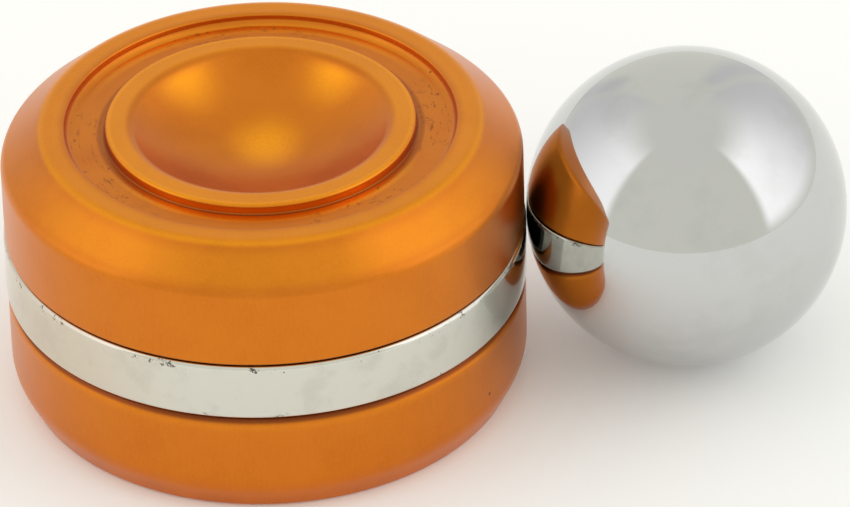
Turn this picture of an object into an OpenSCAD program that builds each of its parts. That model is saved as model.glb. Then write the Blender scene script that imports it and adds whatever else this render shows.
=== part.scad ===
// Turned aluminium puck with a plated ring magnet clamped round its waist, and the steel ball
// that clings to the ring and rolls round it.  Millimetres, +Z up, origin at the centre of the base.

/* [Ring magnet] */
// Outside diameter of the ring magnet, which the ball rolls on
ring_d = 36; // [32:0.5:44]
// Bore of the ring magnet
ring_bore_d = 22; // [16:0.5:24]
// Thickness of the ring magnet
ring_h = 4.2; // [3:0.1:5.2]
// Rounding of the ring's four edges
ring_edge = 0.3; // [0.1:0.05:0.5]

/* [Shells] */
// How far the ring stands out past the shells
ring_proud = 0.1; // [0:0.05:0.3]
// Height of the upper shell, from its seat to its rim
upper_h = 8.1; // [6.7:0.1:10]
// Height of the lower shell, from the base to its seat
lower_h = 7.9; // [6.5:0.1:10]
// Inward run of the upper shell's wide bevel
bevel_run = 2.85; // [2:0.05:3.2]
// Height of the upper shell's wide bevel
bevel_h = 2.5; // [1.5:0.1:3]
// Softening between the wide bevel and the rim
rim_edge = 1.2; // [0.2:0.1:1.6]
// Softening between the wide bevel and the wall
bevel_edge = 1; // [0.2:0.1:1.6]
// Inward run of the lower shell's foot taper
foot_run = 1.1; // [0.5:0.1:2]
// Height of the lower shell's foot taper
foot_h = 2.2; // [1:0.1:3]
// Softening between the foot taper and the wall
foot_edge = 3; // [0.5:0.5:4]
// Softening between the foot taper and the base
base_edge = 0.6; // [0.2:0.1:0.8]
// Softening of the upper shell's edge above the ring
seat_edge = 0.2; // [0.1:0.05:0.5]
// Softening of the lower shell's shoulder below the ring
shoulder_edge = 0.8; // [0.2:0.1:1]

/* [Top face] */
// Width of the flat rim, from the bevel to the groove
rim_w = 1.65; // [1:0.05:2.5]
// Width of the groove at its mouth
groove_w = 2.75; // [2.2:0.05:3.5]
// Depth of the groove below the rim
groove_depth = 0.75; // [0.75:0.05:1]
// Rounding at the foot of the groove's outer wall
groove_fillet = 0.5; // [0.1:0.05:0.5]
// Rounding where the rim turns down into the groove
groove_lip = 0.2; // [0.05:0.05:0.2]
// Width of the raised collar, from the groove to where the dish's curve would meet its top
collar_w = 1.7; // [1.3:0.05:2.5]
// Rounding of the collar's outer edge
collar_edge = 0.25; // [0.1:0.05:0.4]
// Rounding at the foot of the collar's outer wall
collar_fillet = 0.15; // [0.05:0.05:0.3]
// Depth of the spherical dish below the collar
dish_depth = 3.5; // [2:0.05:4.2]
// Rounding where the dish meets the collar
dish_lip = 1.2; // [0.2:0.1:1.4]

/* [Seat washers] */
// Thickness of each washer between the ring and a shell
washer_t = 0.1; // [0.1:0.05:0.5]
// How far the washers' rims stay inside the flat seats
washer_inset = 0.1; // [0.05:0.05:1]

/* [Joint between the shells] */
// Radial clearance of the lower shell's spigot in the ring and in the upper shell
spigot_clearance = 0.1; // [0.05:0.05:0.3]
// How far the spigot enters the upper shell
spigot_entry = 1; // [0.75:0.25:2]
// Gap above the spigot
spigot_relief = 0.2; // [0.1:0.1:0.5]
// Lead-in rounding of the spigot
spigot_edge = 0.4; // [0.1:0.1:0.6]
// Diameter of the joining stud
stud_d = 8; // [5:0.5:10]
// How far the stud is screwed into the spigot
stud_lower_grip = 8; // [5:0.5:10]
// Metal left between the stud's bore and the bottom of the dish
dish_floor = 1.05; // [0.8:0.05:1.5]
// Lead-in bevel of the stud's ends
stud_edge = 0.5; // [0.2:0.1:1]

/* [Steel ball] */
// Diameter of the ball, a standard bearing size
ball_d = 22.225; // [20:0.025:28]
// Running gap between the ball and the ring
ball_gap = 0.03; // [0.01:0.01:0.1]

/* [Hidden] */
$fn = 96;
arc_steps = 8;
cut = 1;

anodised = [0.86, 0.47, 0.12];
nickel = [0.80, 0.78, 0.74];
fibre = [0.13, 0.09, 0.07];
steel = [0.55, 0.56, 0.58];
mirror_steel = [0.84, 0.85, 0.86];

ring_r = ring_d / 2;
bore_r = ring_bore_d / 2;
shell_r = ring_r - ring_proud;
ring_z = lower_h + washer_t;
seat_z = ring_z + ring_h + washer_t;
top_z = seat_z + upper_h;
spigot_r = bore_r - spigot_clearance;
spigot_z = seat_z + spigot_entry;
socket_z = spigot_z + spigot_relief;
stud_low_z = spigot_z - stud_lower_grip;
stud_top_z = top_z - dish_depth - dish_floor;
ball_r = ball_d / 2;
ball_x = ring_r + ball_gap + ball_r;
rim_r = shell_r - bevel_run;
groove_r = rim_r - rim_w;
collar_r = groove_r - groove_w;
dish_edge_r = collar_r - collar_w;
dish_sphere_r = (dish_edge_r ^ 2 + dish_depth ^ 2) / (2 * dish_depth);
dish_z = top_z + dish_sphere_r - dish_depth;
lip_reach = dish_sphere_r + dish_lip;
lip_z = top_z - dish_lip;
lip_r = sqrt(lip_reach ^ 2 - (dish_z - lip_z) ^ 2);
lip_end = [0, dish_z] + ([lip_r, lip_z] - [0, dish_z]) * dish_sphere_r / lip_reach;

// Unit vector from point a towards point b
function towards(a, b) = (b - a) / norm(b - a);

// Points of an arc about a centre, from one angle through a turn
function arc(centre, r, from, turn) =
    [for (k = [0:arc_steps]) centre + r * [cos(from + turn * k / arc_steps), sin(from + turn * k / arc_steps)]];

// Corner b of an outline a-b-c, replaced by an arc of radius r that touches both of its sides
function round_corner(a, b, c, r) =
    let (u = towards(b, a), v = towards(b, c),
         half = acos(u * v) / 2,
         centre = b + (u + v) / norm(u + v) * r / sin(half),
         start = b + u * r / tan(half),
         turn = sign(cross(b - a, c - b)) * (180 - 2 * half))
    arc(centre, r, atan2(start.y - centre.y, start.x - centre.x), turn);

// Outline of corners [radius, height, rounding], with every rounded corner worked out
function rounded(p) =
    let (n = len(p), at = [for (q = p) [q[0], q[1]]])
    [for (i = [0:n - 1])
        each p[i][2] == 0 ? [at[i]] : round_corner(at[(i + n - 1) % n], at[i], at[(i + 1) % n], p[i][2])];

// Bore for the stud, which threads into both shells
module stud_bore(from, to) {
    translate([0, 0, from]) cylinder(r = stud_d / 2, h = to - from);
}

// Flat washer between the ring and a shell
module washer(z) {
    color(fibre) translate([0, 0, z]) difference() {
        cylinder(r = shell_r - shoulder_edge - washer_inset, h = washer_t);
        translate([0, 0, -cut]) cylinder(r = bore_r, h = washer_t + 2 * cut);
    }
}

// Upper half: wide bevel, flat rim, shallow soft groove, raised collar and spherical dish
module upper_shell() {
    groove_z = top_z - groove_depth;
    lip = [for (q = arc([lip_r, lip_z], dish_lip, 90,
                        atan2(lip_end.y - lip_z, lip_end.x - lip_r) - 90)) [q.x, q.y, 0]];
    outline = concat(
        [[0, seat_z, 0],
         [shell_r, seat_z, seat_edge],
         [shell_r, top_z - bevel_h, bevel_edge],
         [rim_r, top_z, rim_edge],
         [groove_r, top_z, groove_lip],
         [groove_r, groove_z, groove_fillet],
         [collar_r, groove_z, collar_fillet],
         [collar_r, top_z, collar_edge]],
        lip,
        [[0, lip_end.y, 0]]);
    color(anodised) difference() {
        rotate_extrude() polygon(rounded(outline));
        translate([0, 0, dish_z]) sphere(r = dish_sphere_r);
        translate([0, 0, seat_z - cut])
            cylinder(r = spigot_r + spigot_clearance, h = socket_z - seat_z + cut);
        stud_bore(socket_z - cut, stud_top_z);
    }
}

// Lower half: tapered foot, and a spigot that centres the ring and enters the upper shell
module lower_shell() {
    outline = [
        [0, 0, 0],
        [shell_r - foot_run, 0, base_edge],
        [shell_r, foot_h, foot_edge],
        [shell_r, lower_h, shoulder_edge],
        [spigot_r, lower_h, 0],
        [spigot_r, spigot_z, spigot_edge],
        [0, spigot_z, 0]];
    color(anodised) difference() {
        rotate_extrude() polygon(rounded(outline));
        stud_bore(stud_low_z, spigot_z + cut);
    }
}

// Plated ring magnet, which the steel ball clings to
module ring_magnet() {
    outline = [
        [bore_r, ring_z, ring_edge],
        [ring_r, ring_z, ring_edge],
        [ring_r, ring_z + ring_h, ring_edge],
        [bore_r, ring_z + ring_h, ring_edge]];
    color(nickel) rotate_extrude() polygon(rounded(outline));
}

module upper_washer() {
    washer(ring_z + ring_h);
}

module lower_washer() {
    washer(lower_h);
}

// Threaded stud that draws the shells together, plain at its thread diameter
module joining_stud() {
    stud_r = stud_d / 2;
    color(steel) rotate_extrude() polygon([
        [0, stud_low_z],
        [stud_r - stud_edge, stud_low_z],
        [stud_r, stud_low_z + stud_edge],
        [stud_r, stud_top_z - stud_edge],
        [stud_r - stud_edge, stud_top_z],
        [0, stud_top_z]]);
}

// Polished bearing ball, standing on the ground beside the ring
module steel_ball() {
    color(mirror_steel) translate([ball_x, 0, ball_r]) sphere(r = ball_r);
}

upper_shell();
lower_shell();
ring_magnet();
upper_washer();
lower_washer();
joining_stud();
steel_ball();
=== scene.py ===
"""Turned aluminium puck with a plated ring magnet round its waist, and the steel ball that rolls round it.

Each sub-assembly is a class that holds its sizes, builds its meshes as surfaces of revolution
and dresses them in a finish. Lengths are in metres, +Z is up, and the puck's axis is the Z axis.
"""

import logging
import math
from dataclasses import dataclass, field
from enum import Enum
from typing import Any, Iterable, Sequence, Union

import bpy
import numpy as np
from mathutils import Matrix, Vector


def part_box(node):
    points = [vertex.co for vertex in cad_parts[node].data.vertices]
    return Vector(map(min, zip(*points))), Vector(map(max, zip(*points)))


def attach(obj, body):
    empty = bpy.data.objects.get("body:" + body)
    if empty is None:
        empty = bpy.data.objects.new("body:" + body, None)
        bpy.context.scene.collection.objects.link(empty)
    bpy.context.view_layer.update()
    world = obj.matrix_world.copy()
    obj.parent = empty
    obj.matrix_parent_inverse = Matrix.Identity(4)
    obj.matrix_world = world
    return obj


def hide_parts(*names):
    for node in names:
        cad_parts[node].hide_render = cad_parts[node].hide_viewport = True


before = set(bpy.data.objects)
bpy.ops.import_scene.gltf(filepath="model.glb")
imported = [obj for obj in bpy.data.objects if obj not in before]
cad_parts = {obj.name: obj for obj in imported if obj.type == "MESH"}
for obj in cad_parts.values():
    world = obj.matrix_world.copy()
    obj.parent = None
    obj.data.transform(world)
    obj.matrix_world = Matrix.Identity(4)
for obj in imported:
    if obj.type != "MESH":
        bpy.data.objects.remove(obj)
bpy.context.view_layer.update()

LOG = logging.getLogger("puck_and_ball")
MM = 0.001
RING_BORE_R = 11.0 * MM

Colour = tuple[float, float, float]
Number = Union[float, "Value"]


# ---------------------------------------------------------------------------
# Shader graphs
# ---------------------------------------------------------------------------


class Value:
    """A shader socket that Python arithmetic works on, adding a Math node for each operation."""

    def __init__(self, graph: "Graph", socket: bpy.types.NodeSocket) -> None:
        """Wraps a socket.

        Args:
            graph: The graph that the socket belongs to.
            socket: The output socket.
        """
        self.graph = graph
        self.socket = socket

    def __add__(self, other: Number) -> "Value":
        """Returns self + other."""
        return self.graph.math("ADD", self, other)

    def __sub__(self, other: Number) -> "Value":
        """Returns self - other."""
        return self.graph.math("SUBTRACT", self, other)

    def __rsub__(self, other: Number) -> "Value":
        """Returns other - self."""
        return self.graph.math("SUBTRACT", other, self)

    def __mul__(self, other: Number) -> "Value":
        """Returns self * other."""
        return self.graph.math("MULTIPLY", self, other)

    def __truediv__(self, other: Number) -> "Value":
        """Returns self / other."""
        return self.graph.math("DIVIDE", self, other)

    __radd__ = __add__
    __rmul__ = __mul__

    def step(self, low: float, high: float) -> "Value":
        """Returns 0 below low, 1 above high and a smooth step between; low above high turns it round."""
        return self.graph.node(
            "ShaderNodeMapRange",
            {"interpolation_type": "SMOOTHSTEP"},
            {"Value": self, "From Min": low, "From Max": high},
            "Result",
        )

    def within(self, low: float, high: float, soft: float) -> "Value":
        """Returns 1 from low to high and 0 outside, with a smooth step soft to each side of both ends."""
        return self.step(low - soft, low + soft) * self.step(high + soft, high - soft)


class Graph:
    """The node tree of a material or of the world."""

    def __init__(self, owner: Union[bpy.types.Material, bpy.types.World]) -> None:
        """Empties the owner's node tree.

        Args:
            owner: The material or world whose nodes are built.
        """
        owner.use_nodes = True
        self.tree = owner.node_tree
        self.tree.nodes.clear()

    def add(self, kind: str, settings: dict[str, Any], sockets: dict[Any, Any]) -> bpy.types.Node:
        """Adds a node.

        Args:
            kind: The node's type.
            settings: Its properties, set first.
            sockets: Values or links of its input sockets, by name or number.

        Returns:
            The node.
        """
        node = self.tree.nodes.new(kind)
        for name, value in settings.items():
            setattr(node, name, value)
        for key, value in sockets.items():
            if isinstance(value, Value):
                self.tree.links.new(value.socket, node.inputs[key])
            else:
                node.inputs[key].default_value = value
        return node

    def node(self, kind: str, settings: dict[str, Any], sockets: dict[Any, Any], out: Any = 0) -> Value:
        """Adds a node and returns one of its outputs, as add() does."""
        return Value(self, self.add(kind, settings, sockets).outputs[out])

    def math(self, operation: str, *terms: Number) -> Value:
        """Adds a Math node on one to three terms."""
        return self.node("ShaderNodeMath", {"operation": operation}, dict(enumerate(terms)))

    def mix(self, factor: Number, first: Any, second: Any) -> Value:
        """Mixes two colours.

        Args:
            factor: How much of the second, from 0 to 1.
            first: The first colour, as three numbers or a Value.
            second: The second colour.

        Returns:
            The mixed colour.
        """
        ends = [c if isinstance(c, Value) else (*c, 1.0) for c in (first, second)]
        return self.node("ShaderNodeMix", {"data_type": "RGBA"}, {0: factor, 6: ends[0], 7: ends[1]}, 2)

    def place(self) -> Value:
        """Returns the object coordinates."""
        return self.node("ShaderNodeTexCoord", {}, {}, "Object")

    def split(self, vector: Value) -> tuple[Value, Value, Value]:
        """Returns a vector's three components."""
        parts = self.add("ShaderNodeSeparateXYZ", {}, {0: vector})
        return tuple(Value(self, parts.outputs[i]) for i in range(3))

    def join(self, x: Number, y: Number, z: Number) -> Value:
        """Returns the vector of three components."""
        return self.node("ShaderNodeCombineXYZ", {}, {0: x, 1: y, 2: z})

    def noise(self, vector: Value, scale: float, detail: float = 2.0, rough: float = 0.5) -> Value:
        """Returns smooth noise from 0 to 1, with features 1 / scale across."""
        sockets = {"Vector": vector, "Scale": scale, "Detail": detail, "Roughness": rough}
        return self.node("ShaderNodeTexNoise", {}, sockets, 0)

    def bump(self, height: Value, distance: float, strength: float = 1.0) -> Value:
        """Returns the normal of a surface raised by height times distance."""
        sockets = {"Height": height, "Distance": distance, "Strength": strength}
        return self.node("ShaderNodeBump", {}, sockets, "Normal")

    def spots(self, vector: Value, scale: float, share: float, size: float) -> Value:
        """Returns 1 in small round spots and 0 elsewhere.

        Args:
            vector: The coordinates.
            scale: Cells per unit length; each cell may hold one spot.
            share: The share of cells that hold a spot.
            size: A spot's radius as a share of its cell.

        Returns:
            The spots' mask.
        """
        cells = self.add("ShaderNodeTexVoronoi", {"feature": "F1"}, {"Vector": vector, "Scale": scale})
        chance, size_draw, _ = self.split(Value(self, cells.outputs["Color"]))
        radius = size * (0.4 + 0.6 * size_draw)
        inside = (radius - Value(self, cells.outputs["Distance"])).step(0.0, 0.3 * size)
        return inside * chance.step(share, share - 0.01)


@dataclass(frozen=True)
class PuckPlace:
    """Shader values that say where a point is on the puck."""

    at: Value
    x: Value
    y: Value
    z: Value
    radius: Value

    @classmethod
    def read(cls, g: Graph) -> "PuckPlace":
        """Reads the object coordinates and works out the distance from the puck's axis.

        Args:
            g: The graph to read them in.

        Returns:
            The place of the shaded point.
        """
        at = g.place()
        x, y, z = g.split(at)
        return cls(at, x, y, z, g.math("SQRT", x * x + y * y))


@dataclass(frozen=True)
class Band:
    """A stretch of the puck, counted from one of its edges, and how strongly it is marked.

    The stretch runs from low to high, and both of its ends are smooth steps of width 2 soft.
    """

    low: float
    high: float
    soft: float
    strength: float

    def mask(self, along: Value, edge: float) -> Value:
        """Returns the band's strength inside it and 0 outside, where along is measured as edge is."""
        return along.within(edge + self.low, edge + self.high, self.soft) * self.strength


@dataclass(frozen=True)
class Spot:
    """A round painted highlight: its middle, where it ends, how strong it is and its even core."""

    x: float
    y: float
    reach: float
    strength: float
    core: float = 0.2 * MM

    def mask(self, g: Graph, place: PuckPlace) -> Value:
        """Masks the spot.

        Args:
            g: The finish's graph.
            place: Where the shaded point is.

        Returns:
            The spot's strength at its middle, falling to 0 at its reach.
        """
        across, along = place.x - self.x, place.y - self.y
        away = g.math("SQRT", across * across + along * along)
        return away.step(self.reach, self.core) * self.strength


def new_surface(name: str) -> tuple[bpy.types.Material, Graph]:
    """Returns a new material and its empty graph."""
    material = bpy.data.materials.new(name)
    return material, Graph(material)


def close_surface(graph: Graph, sockets: dict[str, Any]) -> None:
    """Ends a graph in a Principled shader with these socket values and links."""
    shader = graph.node("ShaderNodeBsdfPrincipled", {}, sockets, "BSDF")
    graph.add("ShaderNodeOutputMaterial", {}, {"Surface": shader})


# ---------------------------------------------------------------------------
# Surfaces of revolution
# ---------------------------------------------------------------------------


@dataclass(frozen=True)
class Outline:
    """Points (radius, height) of a profile and the outward unit normal at each."""

    points: np.ndarray
    normals: np.ndarray

    def __add__(self, other: "Outline") -> "Outline":
        """Returns this outline followed by another."""
        return Outline(
            np.concatenate([self.points, other.points]), np.concatenate([self.normals, other.normals])
        )


def arc(centre: Sequence[float], radius: float, start: float, turn: float, steps: int) -> Outline:
    """Makes a round stretch of a profile whose solid lies to the left of its direction.

    A point is centre + radius * (cos a, sin a), with a running evenly from start to start + turn.
    The normal points away from the centre on a left turn and towards it on a right turn.

    Args:
        centre: Radius and height of the arc's centre.
        radius: The arc's own radius.
        start: Angle of its first point, in radians.
        turn: Angle that it turns through, positive to the left.
        steps: Number of its segments.

    Returns:
        The arc as an outline.
    """
    angle = start + turn * np.linspace(0.0, 1.0, steps + 1)
    spoke = np.stack([np.cos(angle), np.sin(angle)], axis=1)
    return Outline(np.asarray(centre) + radius * spoke, math.copysign(1.0, turn) * spoke)


def point(radius: float, height: float, normal: Sequence[float]) -> Outline:
    """Returns an outline of one point."""
    return Outline(np.array([[radius, height]]), np.array([normal], float))


def corner(before: Sequence[float], at: Sequence[float], after: Sequence[float],
           rounding: float, steps: int = 10) -> Outline:
    """Rounds a corner of a profile.

    The arc touches both sides at rounding / tan(half) from the corner, where half is half of the
    angle between the sides, and its centre lies on their bisector at rounding / sin(half).

    Args:
        before: A point on the side that comes in, as (radius, height).
        at: The corner.
        after: A point on the side that goes out.
        rounding: The arc's radius.
        steps: Number of the arc's segments.

    Returns:
        The corner's arc.
    """
    a, b, c = (np.asarray(p, float) for p in (before, at, after))
    u = (a - b) / np.linalg.norm(a - b)
    v = (c - b) / np.linalg.norm(c - b)
    half = math.acos(float(u @ v)) / 2
    centre = b + (u + v) / np.linalg.norm(u + v) * rounding / math.sin(half)
    spoke = b + u * rounding / math.tan(half) - centre
    left = float(u[1] * v[0] - u[0] * v[1])
    turn = math.copysign(math.pi - 2 * half, left)
    return arc(centre, rounding, math.atan2(spoke[1], spoke[0]), turn, steps)


def rounded(corners: Sequence[tuple[float, float, float]], closed: bool) -> Outline:
    """Joins rounded corners into a profile.

    Args:
        corners: The corners as (radius, height, rounding), with the solid to the left.
        closed: True if the last corner joins the first; otherwise the first and last are left out
            and only give the directions of the end sides.

    Returns:
        The profile.
    """
    count = len(corners)
    chosen = range(count) if closed else range(1, count - 1)
    pieces = [
        corner(corners[i - 1][:2], corners[i][:2], corners[(i + 1) % count][:2], corners[i][2])
        for i in chosen
    ]
    return sum(pieces[1:], pieces[0])


def turned(name: str, outline: Outline, closed: bool, axis: tuple[float, float] = (0.0, 0.0),
           spokes: int = 256) -> bpy.types.Object:
    """Turns a profile about a vertical axis into a smooth closed mesh.

    Vertex (i, j) is (x0 + r[i] * cos t[j], y0 + r[i] * sin t[j], z[i]), with t[j] = 2 pi j / spokes.
    An open profile starts and ends on the axis, where each end becomes one vertex.

    Args:
        name: The object's name.
        outline: The profile, with its solid to the left.
        closed: True if the profile is a loop that stays clear of the axis.
        axis: The axis's x and y.
        spokes: Number of steps round the axis.

    Returns:
        The object, at the origin, with its place in its mesh.
    """
    angle = 2 * math.pi * np.arange(spokes) / spokes
    ring = np.stack([np.cos(angle), np.sin(angle)], axis=1)
    middle = slice(None) if closed else slice(1, -1)
    radius, height = outline.points[middle].T
    lean, rise = outline.normals[middle].T
    rows = len(radius)
    place = np.empty((rows, spokes, 3))
    place[..., :2] = np.asarray(axis) + radius[:, None, None] * ring
    place[..., 2] = height[:, None]
    facing = np.empty_like(place)
    facing[..., :2] = lean[:, None, None] * ring
    facing[..., 2] = rise[:, None]
    place, facing = place.reshape(-1, 3), facing.reshape(-1, 3)
    here = np.arange(spokes)
    there = (here + 1) % spokes
    low = np.arange(rows if closed else rows - 1)[:, None]
    high = (low + 1) % rows
    quads = np.stack(
        [low * spokes + here, low * spokes + there, high * spokes + there, high * spokes + here], axis=-1
    ).reshape(-1, 4)
    faces = quads.tolist()
    if not closed:
        ends = np.column_stack([np.tile(axis, (2, 1)), outline.points[[0, -1], 1]])
        turned_out = np.column_stack([np.zeros((2, 2)), np.sign(outline.normals[[0, -1], 1])])
        start, end = len(place), len(place) + 1
        place = np.concatenate([place, ends])
        facing = np.concatenate([facing, turned_out])
        first, last = here, here + (rows - 1) * spokes
        faces += np.stack([np.full(spokes, start), first[there], first], axis=1).tolist()
        faces += np.stack([np.full(spokes, end), last, last[there]], axis=1).tolist()
    return smooth_mesh(name, place, faces, facing)


def smooth_mesh(name: str, place: np.ndarray, faces: list[list[int]], facing: np.ndarray) -> bpy.types.Object:
    """Makes a smooth-shaded object.

    Args:
        name: The object's name.
        place: Vertex positions, one row each.
        faces: Vertex numbers of each face, anticlockwise from outside.
        facing: Outward unit normal of each vertex.

    Returns:
        The object, in the scene.
    """
    mesh = bpy.data.meshes.new(name)
    mesh.from_pydata(place.tolist(), [], faces)
    mesh.polygons.foreach_set("use_smooth", np.ones(len(faces), bool))
    mesh.update()
    mesh.normals_split_custom_set_from_vertices(facing.tolist())
    made = bpy.data.objects.new(name, mesh)
    bpy.context.scene.collection.objects.link(made)
    return made


# ---------------------------------------------------------------------------
# Finishes
# ---------------------------------------------------------------------------


class Slot(Enum):
    """The record's material slots."""

    ANODISED = "anodised_aluminium"
    NICKEL = "nickel_plating"
    FIBRE = "washer_fibre"
    STUD = "stud_steel"
    MIRROR = "mirror_steel"


@dataclass(frozen=True)
class AnodisedAluminium:
    """Bead-blasted aluminium dyed orange: satin, its edges gold, partly from wear and partly painted
    highlight, with painted highlights and painted shade elsewhere and small wear marks.

    Each band is counted from the edge that its comment names. The cloud and grain scales are
    features per metre, and streak_scale is features per turn over 2 pi.
    """

    dye: Colour = (0.675, 0.196, 0.015)
    deep_dye: Colour = (0.56, 0.138, 0.010)
    # Gold of edge wear, and of the painted highlights on edges, shoulder, bevel, groove floor and dish
    rubbed_and_highlight: Colour = (0.96, 0.350, 0.012)
    soil: Colour = (0.14, 0.040, 0.014)
    # Dark colour of the painted shade in the groove's corner and along the seam
    shade_colour: Colour = (0.20, 0.042, 0.012)
    roughness: float = 0.33
    sealing: float = 0.10
    sealing_roughness: float = 0.28
    cloud_scale: float = 260.0
    grain_scale: float = 5200.0
    grain_height: float = 0.0000022
    streak_scale: float = 95.0
    streak_stretch: float = 12.0
    # From the rim's corner; these lighter bands are partly edge wear and partly painted highlight
    rim: Band = Band(-1.30 * MM, 0.35 * MM, 0.35 * MM, 0.38)
    rim_edge: Band = Band(-0.10 * MM, 0.25 * MM, 0.28 * MM, 0.35)
    # From the collar's wall
    # Lighter bands on the collar, partly edge wear and partly painted highlight
    collar: Band = Band(-1.50 * MM, -0.10 * MM, 0.25 * MM, 0.48)
    crown: Band = Band(-0.35 * MM, -0.05 * MM, 0.16 * MM, 0.35)
    # Painted highlight on the groove's inner floor at the front
    inner_floor: Band = Band(0.20 * MM, 0.90 * MM, 0.20 * MM, 0.75)
    # Painted shade in the groove's corner at the collar's foot, and more of it on the left and right sides
    corner: Band = Band(0.02 * MM, 0.15 * MM, 0.03 * MM, 0.80)
    side_shade: Band = Band(0.0, 0.55 * MM, 0.15 * MM, 0.50)
    # From the groove's outer wall
    # Painted highlight on the groove's outer floor at the back
    outer_floor: Band = Band(-1.20 * MM, -0.30 * MM, 0.25 * MM, 0.60)
    # From the shells' wall
    # Painted highlight on the bevel's front
    bevel: Band = Band(-2.25 * MM, -0.50 * MM, 0.40 * MM, 0.26)
    # From the lower shell's seat
    # Painted highlight on the lower shell's shoulder
    shoulder: Band = Band(-0.93 * MM, -0.58 * MM, 0.20 * MM, 0.10)
    # Painted shade along the seam under the ring
    seam: Band = Band(-0.40 * MM, 0.10 * MM, 0.12 * MM, 0.90)
    # Painted highlights in the dish, at fixed places round it
    dish_highlight_spots: tuple[Spot, ...] = (
        Spot(0.4 * MM, 1.8 * MM, 3.5 * MM, 0.95),
        Spot(-5.0 * MM, 6.7 * MM, 3.2 * MM, 0.72),
        Spot(5.7 * MM, 6.3 * MM, 3.2 * MM, 0.80),
    )

    def edge_wear_and_highlight(self, puck: "Shells", place: PuckPlace) -> Value:
        """Masks the rounded edges of the top face, lighter partly from wear by handling and partly as painted
        highlight, and the painted highlight on the lower shell's shoulder.

        Args:
            puck: The shells, for the places of their edges.
            place: Where the shaded point is.

        Returns:
            The mask.
        """
        top_face = place.z.step(puck.top_z - 0.35 * MM, puck.top_z - 0.10 * MM)
        rim = self.rim.mask(place.radius, puck.rim_r) + self.rim_edge.mask(place.radius, puck.rim_r)
        collar = self.collar.mask(place.radius, puck.collar_r) + self.crown.mask(place.radius, puck.collar_r)
        return top_face * (rim + collar) + self.shoulder.mask(place.z, puck.lower_seat_z)

    def dish_highlights(self, g: Graph, puck: "Shells", place: PuckPlace) -> Value:
        """Masks the painted highlights in the dish, and only there: the base below them stays clear.

        Args:
            g: The finish's graph.
            puck: The shells, for the places of their edges.
            place: Where the shaded point is.

        Returns:
            The mask.
        """
        bottom = puck.top_z - puck.dish_depth
        inside = place.radius.step(puck.dish_edge_r, puck.dish_edge_r - 0.8 * MM)
        inside = inside * place.z.step(puck.top_z, puck.top_z - 0.4 * MM)
        inside = inside * place.z.step(bottom - 0.4 * MM, bottom - 0.2 * MM)
        spots = [spot.mask(g, place) for spot in self.dish_highlight_spots]
        return inside * sum(spots[1:], spots[0])

    def face_highlights(self, puck: "Shells", place: PuckPlace) -> Value:
        """Masks the painted highlights on the front of the bevel and on the groove's floor, its inner part at
        the front and its outer part at the back.

        Args:
            puck: The shells, for the places of their edges.
            place: Where the shaded point is.

        Returns:
            The mask.
        """
        ahead = (0.0 - place.y) / place.radius
        foot = puck.top_z - puck.bevel_h
        bevel = self.bevel.mask(place.radius, puck.shell_r) * place.z.step(foot, foot + 0.5 * MM)
        inner = self.inner_floor.mask(place.radius, puck.collar_r) * ahead.step(0.30, 0.90)
        outer = self.outer_floor.mask(place.radius, puck.groove_r) * ahead.step(-0.30, -0.90)
        return bevel * ahead.step(0.15, 0.75) + (inner + outer) * puck.groove_level(place.z)

    def painted_shade(self, g: Graph, puck: "Shells", place: PuckPlace) -> Value:
        """Masks the painted shade at the foot of the collar, heavier on the left and right sides, and along
        the seam under the ring.

        Args:
            g: The finish's graph.
            puck: The shells, for the places of their edges.
            place: Where the shaded point is.

        Returns:
            The mask.
        """
        aside = g.math("ABSOLUTE", place.x) / place.radius
        corner = self.corner.mask(place.radius, puck.collar_r)
        side_shade = self.side_shade.mask(place.radius, puck.collar_r) * aside.step(0.45, 0.90)
        foot = g.math("MAXIMUM", corner, side_shade) * puck.groove_level(place.z)
        return foot + self.seam.mask(place.z, puck.lower_seat_z)

    def marks(self, g: Graph, puck: "Shells", place: PuckPlace) -> Value:
        """Masks the scratches and scuffs on the groove's floor, and small specks everywhere.

        Args:
            g: The finish's graph.
            puck: The shells, for the places of their edges.
            place: Where the shaded point is.

        Returns:
            The mask.
        """
        inner, outer = puck.collar_r + 0.25 * MM, puck.groove_r - 0.35 * MM
        floor = puck.groove_level(place.z) * place.radius.within(inner, outer, 0.1 * MM)
        where = g.noise(place.at, 130.0, 2.0, 0.5).step(0.38, 0.56)
        turn = g.math("ARCTAN2", place.y, place.x)
        drag = g.noise(g.join(turn * 2.2, place.radius * 900.0, 0.0), 3.0, 5.0, 0.75)
        scratches = drag.step(0.57, 0.63) * where * floor * 0.55
        scuffs = g.noise(place.at, 1300.0, 5.0, 0.8).step(0.585, 0.64) * where * floor * 0.6
        specks = g.spots(place.at, 420.0, 0.12, 0.09) * 0.75
        return g.math("MAXIMUM", g.math("MAXIMUM", scratches, scuffs), specks)

    def material(self, puck: "Shells") -> bpy.types.Material:
        """Builds the finish.

        Args:
            puck: The shells, for the places of their edges, walls and groove.

        Returns:
            The material.
        """
        material, g = new_surface("anodised_orange")
        place = PuckPlace.read(g)
        wall = place.radius.step(puck.shell_r - 0.25 * MM, puck.shell_r - 0.05 * MM)
        round_wall = g.join(place.x / place.radius, place.y / place.radius, place.z * self.streak_stretch)
        streaks = g.noise(round_wall, self.streak_scale, 3.0, 0.7)
        cloud = g.noise(place.at, self.cloud_scale, 3.0, 0.55)
        blast = g.noise(place.at, self.grain_scale, 2.0, 0.6)
        tone = 0.42 * cloud + 0.3 * blast + 0.28 * (wall * streaks + (1.0 - wall) * cloud)
        colour = g.mix(tone.step(0.62, 0.30) * 0.5, self.dye, self.deep_dye)
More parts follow.
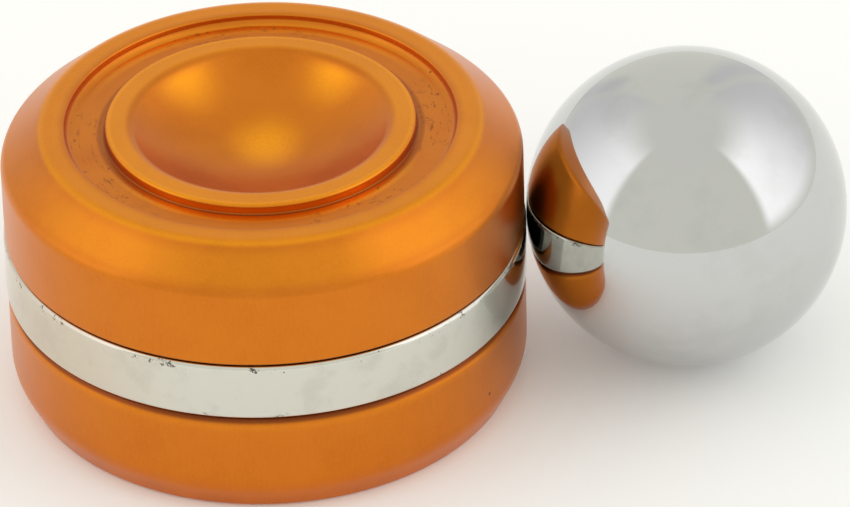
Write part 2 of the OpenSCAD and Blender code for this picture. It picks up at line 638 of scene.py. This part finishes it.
        # Edge wear and painted highlights, lightened towards gold
        wear_and_highlight = self.edge_wear_and_highlight(puck, place) + self.dish_highlights(g, puck, place) + self.face_highlights(puck, place)
        wear_and_highlight = g.math("MINIMUM", wear_and_highlight * (0.55 + 0.6 * blast + 0.3 * cloud), 1.0)
        colour = g.mix(wear_and_highlight, colour, self.rubbed_and_highlight)
        # Painted shade in the groove's corner and along the seam under the ring
        colour = g.mix(self.painted_shade(g, puck, place), colour, self.shade_colour)
        marks = self.marks(g, puck, place)
        colour = g.mix(marks, colour, self.soil)
        rough = self.roughness + 0.07 * (cloud - 0.5) + 0.10 * (blast - 0.5) + 0.15 * marks - 0.05 * wear_and_highlight
        close_surface(g, {
            "Base Color": colour, "Metallic": 1.0, "Roughness": rough,
            "Normal": g.bump(blast + 0.5 * wall * streaks, self.grain_height),
            "Coat Weight": self.sealing, "Coat Roughness": self.sealing_roughness,
        })
        return material


@dataclass(frozen=True)
class NickelPlating:
    """Bright nickel on a sintered magnet: warm silver, cloudy, with a painted warm reflection on one side,
    its edges chipped.
    """

    plate: Colour = (0.675, 0.665, 0.595)
    cloudy: Colour = (0.55, 0.54, 0.48)
    # Warm tint of the painted reflection on the ring's left side
    warm_reflection: Colour = (0.66, 0.50, 0.35)
    chip: Colour = (0.10, 0.085, 0.065)
    roughness: float = 0.10
    relief: float = 0.0000025
    # Where the painted reflection fades in along x, and how strong it is
    reflection_from: float = -6.0 * MM
    reflection_to: float = -14.0 * MM
    reflection_strength: float = 0.40

    def material(self, low_z: float, high_z: float, edge: float) -> bpy.types.Material:
        """Builds the finish.

        Args:
            low_z: Height of the ring's lower face.
            high_z: Height of its upper face.
            edge: Rounding of its edges, which carry the chips.

        Returns:
            The material.
        """
        material, g = new_surface("bright_nickel")
        at = g.place()
        x, _, z = g.split(at)
        cloud = g.noise(at, 420.0, 4.0, 0.6)
        fine = g.noise(at, 3200.0, 3.0, 0.65)
        colour = g.mix(cloud.step(0.46, 0.68) * 0.5, self.plate, self.cloudy)
        # Painted warm reflection on the ring's left side
        reflected = x.step(self.reflection_from, self.reflection_to) * self.reflection_strength
        colour = g.mix(reflected, colour, self.warm_reflection)
        near_top = z.within(high_z - 1.6 * edge, high_z - 0.1 * edge, 0.3 * edge)
        near_bottom = z.within(low_z + 0.4 * edge, low_z + 1.2 * edge, 0.3 * edge)
        ragged = g.noise(at, 700.0, 5.0, 0.8)
        chips = ragged.step(0.59, 0.61) * near_top + ragged.step(0.63, 0.65) * near_bottom
        specks = g.spots(at, 520.0, 0.08, 0.07)
        bare = g.math("MINIMUM", chips + specks * 0.7, 1.0)
        colour = g.mix(bare, colour, self.chip)
        rough = self.roughness + 0.10 * (cloud - 0.5) + 0.06 * (fine - 0.5) + 0.35 * bare
        close_surface(g, {
            "Base Color": colour, "Metallic": 1.0 - 0.6 * bare, "Roughness": rough,
            "Normal": g.bump(0.5 * fine + cloud - 3.0 * bare, self.relief, 0.8),
        })
        return material


@dataclass(frozen=True)
class WasherFibre:
    """Dark vulcanised fibre."""

    fibre: Colour = (0.050, 0.026, 0.014)
    dust: Colour = (0.095, 0.058, 0.036)
    relief: float = 0.000008

    def material(self) -> bpy.types.Material:
        """Builds the finish.

        Returns:
            The material.
        """
        material, g = new_surface("dark_fibre")
        weave = g.noise(g.place(), 4000.0, 3.0, 0.7)
        close_surface(g, {
            "Base Color": g.mix(weave.step(0.4, 0.7), self.fibre, self.dust),
            "Roughness": 0.62 + 0.2 * (weave - 0.5), "Normal": g.bump(weave, self.relief),
        })
        return material


@dataclass(frozen=True)
class StudSteel:
    """Plain turned steel with a thread's fine ridges in its shading."""

    steel: Colour = (0.42, 0.43, 0.45)
    dull: Colour = (0.25, 0.25, 0.26)
    pitch: float = 1.25 * MM
    relief: float = 0.1 * MM

    def material(self) -> bpy.types.Material:
        """Builds the finish; the ridges follow the sine of height plus turns, once a pitch.

        Returns:
            The material.
        """
        material, g = new_surface("plain_steel")
        at = g.place()
        x, y, z = g.split(at)
        turns = g.math("ARCTAN2", y, x) + z * (2 * math.pi / self.pitch)
        ridge = g.math("SINE", turns)
        cloud = g.noise(at, 900.0, 3.0, 0.6)
        close_surface(g, {
            "Base Color": g.mix(cloud.step(0.4, 0.7) * 0.5, self.steel, self.dull), "Metallic": 1.0,
            "Roughness": 0.34 + 0.15 * (cloud - 0.5), "Normal": g.bump(ridge, self.relief, 0.7),
        })
        return material


@dataclass(frozen=True)
class MirrorSteel:
    """Lapped and polished bearing steel with a faint haze from handling and a few specks."""

    steel: Colour = (0.588, 0.590, 0.588)
    haze: Colour = (0.530, 0.536, 0.524)
    roughness: float = 0.028
    relief: float = 0.0000009

    def material(self) -> bpy.types.Material:
        """Builds the finish.

        Returns:
            The material.
        """
        material, g = new_surface("mirror_steel")
        at = g.place()
        haze = g.noise(at, 230.0, 5.0, 0.62)
        fine = g.noise(at, 1500.0, 3.0, 0.6)
        specks = g.spots(at, 330.0, 0.07, 0.06)
        veil = haze.step(0.47, 0.70)
        rough = self.roughness + 0.055 * veil + 0.012 * fine + 0.12 * specks
        colour = g.mix(veil * 0.6 + specks * 0.4, self.steel, self.haze)
        close_surface(g, {
            "Base Color": colour, "Metallic": 1.0, "Roughness": rough,
            "Normal": g.bump(haze, self.relief, 0.6),
        })
        return material


def dress(piece: bpy.types.Object, material: bpy.types.Material) -> None:
    """Gives a piece its finish.

    Args:
        piece: The piece.
        material: Its finish.
    """
    piece.data.materials.clear()
    piece.data.materials.append(material)


def settle(piece: bpy.types.Object, body: str, node: str) -> None:
    """Puts a piece on its body in place of its plain node, and reports it.

    Args:
        piece: The piece.
        body: The body that carries it.
        node: The plain node that it stands for.
    """
    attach(piece, body)
    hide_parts(node)
    LOG.info("%s: %d vertices, rides on %s", piece.name, len(piece.data.vertices), body)


# ---------------------------------------------------------------------------
# Sub-assemblies
# ---------------------------------------------------------------------------


@dataclass
class Shells:
    """The two halves of the puck, which screw together on a stud."""

    bevel_run: float = 2.85 * MM
    bevel_h: float = 2.5 * MM
    rim_edge: float = 1.2 * MM
    bevel_edge: float = 1.0 * MM
    foot_run: float = 1.1 * MM
    foot_h: float = 2.2 * MM
    foot_edge: float = 3.0 * MM
    base_edge: float = 0.6 * MM
    seat_edge: float = 0.2 * MM
    shoulder_edge: float = 0.8 * MM
    rim_w: float = 1.65 * MM
    groove_w: float = 2.75 * MM
    groove_depth: float = 0.75 * MM
    groove_fillet: float = 0.5 * MM
    groove_lip: float = 0.2 * MM
    collar_w: float = 1.7 * MM
    collar_edge: float = 0.25 * MM
    collar_fillet: float = 0.15 * MM
    dish_depth: float = 3.5 * MM
    dish_lip: float = 1.2 * MM
    spigot_clearance: float = 0.1 * MM
    spigot_relief: float = 0.2 * MM
    spigot_edge: float = 0.4 * MM
    hidden_edge: float = 0.05 * MM
    finish: AnodisedAluminium = field(default_factory=AnodisedAluminium)

    def __post_init__(self) -> None:
        """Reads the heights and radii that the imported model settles."""
        upper, lower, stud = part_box("upper_shell"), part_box("lower_shell"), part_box("joining_stud")
        self.shell_r = upper[1].y
        self.seat_z, self.top_z = upper[0].z, upper[1].z
        self.spigot_z = lower[1].z
        self.lower_seat_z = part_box("lower_washer")[0].z
        self.rim_r = self.shell_r - self.bevel_run
        self.groove_r = self.rim_r - self.rim_w
        self.collar_r = self.groove_r - self.groove_w
        self.dish_edge_r = self.collar_r - self.collar_w
        self.dish_sphere_r = (self.dish_edge_r**2 + self.dish_depth**2) / (2 * self.dish_depth)
        self.stud_r = stud[1].y
        self.stud_low_z, self.stud_top_z = stud[0].z, stud[1].z

    def groove_level(self, z: Value) -> Value:
        """Returns 1 at the height of the groove's floor and 0 elsewhere."""
        floor_z = self.top_z - self.groove_depth
        return z.within(floor_z - 0.10 * MM, floor_z + 0.12 * MM, 0.05 * MM)

    def upper_outline(self) -> Outline:
        """Works out the upper shell's profile, from the stud bore's end to the dish's lowest point.

        The dish is an arc about a centre on the axis, dish_sphere_r above its lowest point. Its lip is
        an arc that touches the collar's top and the sphere from outside, so its centre is
        dish_sphere_r + dish_lip from the dish's centre.

        Returns:
            The profile, open, with both ends on the axis.
        """
        groove_z = self.top_z - self.groove_depth
        socket_z = self.spigot_z + self.spigot_relief
        dish_z = self.top_z + self.dish_sphere_r - self.dish_depth
        lip_z = self.top_z - self.dish_lip
        reach = self.dish_sphere_r + self.dish_lip
        lip_r = math.sqrt(reach**2 - (dish_z - lip_z) ** 2)
        lean = math.atan2(dish_z - lip_z, lip_r)
        tiny = self.hidden_edge
        body = rounded(
            [
                (0.0, self.stud_top_z, 0.0),
                (self.stud_r, self.stud_top_z, tiny),
                (self.stud_r, socket_z, tiny),
                (RING_BORE_R, socket_z, tiny),
                (RING_BORE_R, self.seat_z, tiny),
                (self.shell_r, self.seat_z, self.seat_edge),
                (self.shell_r, self.top_z - self.bevel_h, self.bevel_edge),
                (self.rim_r, self.top_z, self.rim_edge),
                (self.groove_r, self.top_z, self.groove_lip),
                (self.groove_r, groove_z, self.groove_fillet),
                (self.collar_r, groove_z, self.collar_fillet),
                (self.collar_r, self.top_z, self.collar_edge),
                (lip_r, self.top_z, 0.0),
            ],
            closed=False,
        )
        half_pi = math.pi / 2
        lip = arc((lip_r, lip_z), self.dish_lip, half_pi, half_pi - lean, 12)
        dish = arc((0.0, dish_z), self.dish_sphere_r, -lean, lean - half_pi, 40)
        return point(0.0, self.stud_top_z, (0.0, -1.0)) + body + lip + dish

    def lower_outline(self) -> Outline:
        """Works out the lower shell's profile, from the middle of its base to the stud bore's end.

        Returns:
            The profile, open, with both ends on the axis.
        """
        spigot_r = RING_BORE_R - self.spigot_clearance
        tiny = self.hidden_edge
        body = rounded(
            [
                (0.0, 0.0, 0.0),
                (self.shell_r - self.foot_run, 0.0, self.base_edge),
                (self.shell_r, self.foot_h, self.foot_edge),
                (self.shell_r, self.lower_seat_z, self.shoulder_edge),
                (spigot_r, self.lower_seat_z, tiny),
                (spigot_r, self.spigot_z, self.spigot_edge),
                (self.stud_r, self.spigot_z, tiny),
                (self.stud_r, self.stud_low_z, tiny),
                (0.0, self.stud_low_z, 0.0),
            ],
            closed=False,
        )
        return point(0.0, 0.0, (0.0, -1.0)) + body + point(0.0, self.stud_low_z, (0.0, 1.0))

    def build(self) -> None:
        """Builds, dresses and settles both shells."""
        finish = self.finish.material(self)
        for name, outline in (("upper_shell", self.upper_outline()), ("lower_shell", self.lower_outline())):
            piece = turned(f"{name}_turned", outline, closed=False)
            dress(piece, finish)
            settle(piece, "puck", name)


@dataclass
class MagnetStack:
    """The plated ring magnet and the fibre washer on each side of it."""

    ring_edge: float = 0.3 * MM
    washer_edge: float = 0.03 * MM
    plating: NickelPlating = field(default_factory=NickelPlating)
    fibre: WasherFibre = field(default_factory=WasherFibre)

    def band(self, node: str, edge: float) -> Outline:
        """Works out the profile of a flat ring that fills a node's box round the bore.

        Args:
            node: The node.
            edge: Rounding of the ring's four edges.

        Returns:
            The profile, closed.
        """
        low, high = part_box(node)
        return rounded(
            [
                (RING_BORE_R, low.z, edge),
                (high.y, low.z, edge),
                (high.y, high.z, edge),
                (RING_BORE_R, high.z, edge),
            ],
            closed=True,
        )

    def build(self) -> None:
        """Builds, dresses and settles the ring and the washers."""
        low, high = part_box("ring_magnet")
        ring = turned("ring_magnet_plated", self.band("ring_magnet", self.ring_edge), closed=True)
        dress(ring, self.plating.material(low.z, high.z, self.ring_edge))
        settle(ring, "puck", "ring_magnet")
        finish = self.fibre.material()
        for node in ("upper_washer", "lower_washer"):
            washer = turned(f"{node}_cut", self.band(node, self.washer_edge), closed=True)
            dress(washer, finish)
            settle(washer, "puck", node)


@dataclass
class JoiningStud:
    """The threaded stud inside the puck."""

    lead_in: float = 0.5 * MM
    edge: float = 0.05 * MM
    finish: StudSteel = field(default_factory=StudSteel)

    def build(self) -> None:
        """Builds, dresses and settles the stud."""
        low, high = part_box("joining_stud")
        inner_r = high.y - self.lead_in
        body = rounded(
            [
                (0.0, low.z, 0.0),
                (inner_r, low.z, self.edge),
                (high.y, low.z + self.lead_in, self.edge),
                (high.y, high.z - self.lead_in, self.edge),
                (inner_r, high.z, self.edge),
                (0.0, high.z, 0.0),
            ],
            closed=False,
        )
        outline = point(0.0, low.z, (0.0, -1.0)) + body + point(0.0, high.z, (0.0, 1.0))
        stud = turned("joining_stud_turned", outline, closed=False, spokes=96)
        dress(stud, self.finish.material())
        settle(stud, "puck", "joining_stud")


@dataclass
class SteelBall:
    """The polished ball that clings to the ring and rolls round it."""

    spokes: int = 320
    rows: int = 160
    finish: MirrorSteel = field(default_factory=MirrorSteel)

    def build(self) -> None:
        """Builds, dresses and settles the ball: a half circle turned about the ball's own upright axis."""
        low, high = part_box("steel_ball")
        centre = (low + high) / 2
        radius = (high.z - low.z) / 2
        outline = arc((0.0, centre.z), radius, -math.pi / 2, math.pi, self.rows)
        ball = turned("steel_ball_polished", outline, False, (centre.x, centre.y), self.spokes)
        dress(ball, self.finish.material())
        settle(ball, "ball", "steel_ball")


# ---------------------------------------------------------------------------
# Studio
# ---------------------------------------------------------------------------


@dataclass(frozen=True)
class SoftPanel:
    """A diffusing wall of the light tent, as a patch of sky.

    Azimuth is 0 towards the camera and positive to the right, and both angles are in degrees.
    Its light runs smoothly from near_light at its near edge to far_light at its far edge.
    """

    near: float
    far: float
    low: float
    high: float
    near_light: float
    far_light: float
    soft: float = 4.0
    top_soft: float = 6.0

    def light(self, g: Graph, azimuth: Value, elevation: Value, under: Value) -> Value:
        """Lays the panel over the light under it.

        Args:
            g: The world's graph.
            azimuth: Direction's azimuth in degrees.
            elevation: Direction's elevation in degrees.
            under: The colour so far.

        Returns:
            The colour with the panel on it.
        """
        left, right = sorted((self.near, self.far))
        bottom = elevation.step(self.low - self.top_soft / 2, self.low + self.top_soft / 2)
        top = elevation.step(self.high + self.top_soft, self.high - self.top_soft)
        mask = azimuth.within(left, right, self.soft) * bottom * top
        fade = azimuth.step(self.near, self.far)
        near, far = ((light,) * 3 for light in (self.near_light, self.far_light))
        return g.mix(mask, under, g.mix(fade, near, far))


@dataclass
class Studio:
    """White light tent and a plain pale floor."""

    wall: Colour = (0.87, 0.87, 0.79)
    roof: Colour = (0.86, 0.86, 0.80)
    floor_colour: Colour = (0.96, 0.96, 0.955)
    floor_glow: float = 0.09
    floor_half: float = 3.0
    floor_drop: float = 0.02 * MM
    panels: tuple[SoftPanel, ...] = (
        SoftPanel(-66.0, -152.0, low=4.0, high=57.0, near_light=1.42, far_light=0.80, top_soft=14.0),
        SoftPanel(54.0, 150.0, low=4.0, high=59.0, near_light=1.56, far_light=0.79, top_soft=14.0),
        SoftPanel(-153.0, -163.0, low=-9.0, high=26.0, near_light=0.76, far_light=0.76),
        SoftPanel(153.0, 163.0, low=-9.0, high=44.0, near_light=0.76, far_light=0.76),
    )

    def build_world(self) -> None:
        """Builds the tent as a procedural sky."""
        world = bpy.data.worlds.new("light_tent")
        bpy.context.scene.world = world
        g = Graph(world)
        x, y, z = g.split(g.node("ShaderNodeTexCoord", {}, {}, "Generated"))
        azimuth = g.math("ARCTAN2", x, 0.0 - y) * math.degrees(1.0)
        elevation = g.math("ARCSINE", z) * math.degrees(1.0)
        colour = g.mix(elevation.step(45.0, 70.0), self.wall, self.roof)
        for panel in self.panels:
            colour = panel.light(g, azimuth, elevation, colour)
        sky = g.node("ShaderNodeBackground", {}, {"Color": colour, "Strength": 1.0})
        g.add("ShaderNodeOutputWorld", {}, {"Surface": sky})

    def build_floor(self) -> None:
        """Builds the floor, just under the object."""
        half, height = self.floor_half, -self.floor_drop
        corners = [(x * half, y * half, height) for x, y in ((-1, -1), (1, -1), (1, 1), (-1, 1))]
        mesh = bpy.data.meshes.new("floor")
        mesh.from_pydata(corners, [], [(0, 1, 2, 3)])
        floor = bpy.data.objects.new("floor", mesh)
        bpy.context.scene.collection.objects.link(floor)
        material, g = new_surface("pale_floor")
        close_surface(g, {
            "Base Color": (*self.floor_colour, 1.0), "Roughness": 0.9,
            "Emission Color": (1.0, 1.0, 1.0, 1.0), "Emission Strength": self.floor_glow,
        })
        mesh.materials.append(material)

    def build(self) -> None:
        """Builds the world and the floor, and sets the plain view transform."""
        self.build_world()
        self.build_floor()
        bpy.context.scene.view_settings.view_transform = "Standard"


@dataclass
class ProductCamera:
    """A long lens looking down at the puck's front, turned a little about its own axis."""

    sensor_width: float = 36.0
    lens: float = 323.0259
    distance: float = 29.229
    elevation: float = 33.937
    around: float = -1.93
    yaw: float = 1.439
    pitch: float = 34.051
    roll: float = -1.629
    clip: tuple[float, float] = (0.01, 20.0)

    def build(self) -> None:
        """Places the camera round the middle of the ring, then turns it by around about the puck's axis.

        The camera stands at distance ring radii from the ring's middle, at its elevation. Its view is
        yawed, pitched and rolled, and place and view are then turned together.
        """
        low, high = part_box("ring_magnet")
        centre = Vector((0.0, 0.0, (low.z + high.z) / 2))
        angles = (self.elevation, self.yaw, self.pitch, self.roll)
        lift, yaw, pitch, roll = (math.radians(angle) for angle in angles)
        reach = self.distance * high.y
        place = Vector((0.0, -math.cos(lift), math.sin(lift))) * reach
        view = Vector((math.sin(yaw) * math.cos(pitch), math.cos(yaw) * math.cos(pitch), -math.sin(pitch)))
        side = view.cross(Vector((0.0, 0.0, 1.0))).normalized()
        up = side.cross(view)
        right = side * math.cos(roll) + up * math.sin(roll)
        top = up * math.cos(roll) - side * math.sin(roll)
        turn = Matrix.Rotation(math.radians(self.around), 4, "Z")
        basis = Matrix((right, top, -view)).transposed().to_4x4()
        data = bpy.data.cameras.new("product_camera")
        data.sensor_width = self.sensor_width
        data.lens = self.lens
        data.clip_start, data.clip_end = self.clip
        camera = bpy.data.objects.new("product_camera", data)
        camera.matrix_world = turn @ Matrix.Translation(place) @ basis
        camera.location += centre
        bpy.context.scene.collection.objects.link(camera)
        bpy.context.scene.camera = camera


def main() -> None:
    """Builds the studio and every sub-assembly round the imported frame."""
    logging.basicConfig(level=logging.INFO, format="%(message)s")
    ProductCamera().build()
    Studio().build()
    for part in (Shells(), MagnetStack(), JoiningStud(), SteelBall()):
        part.build()
        LOG.info("%s is built", type(part).__name__)


if __name__ == "__main__":
    main()
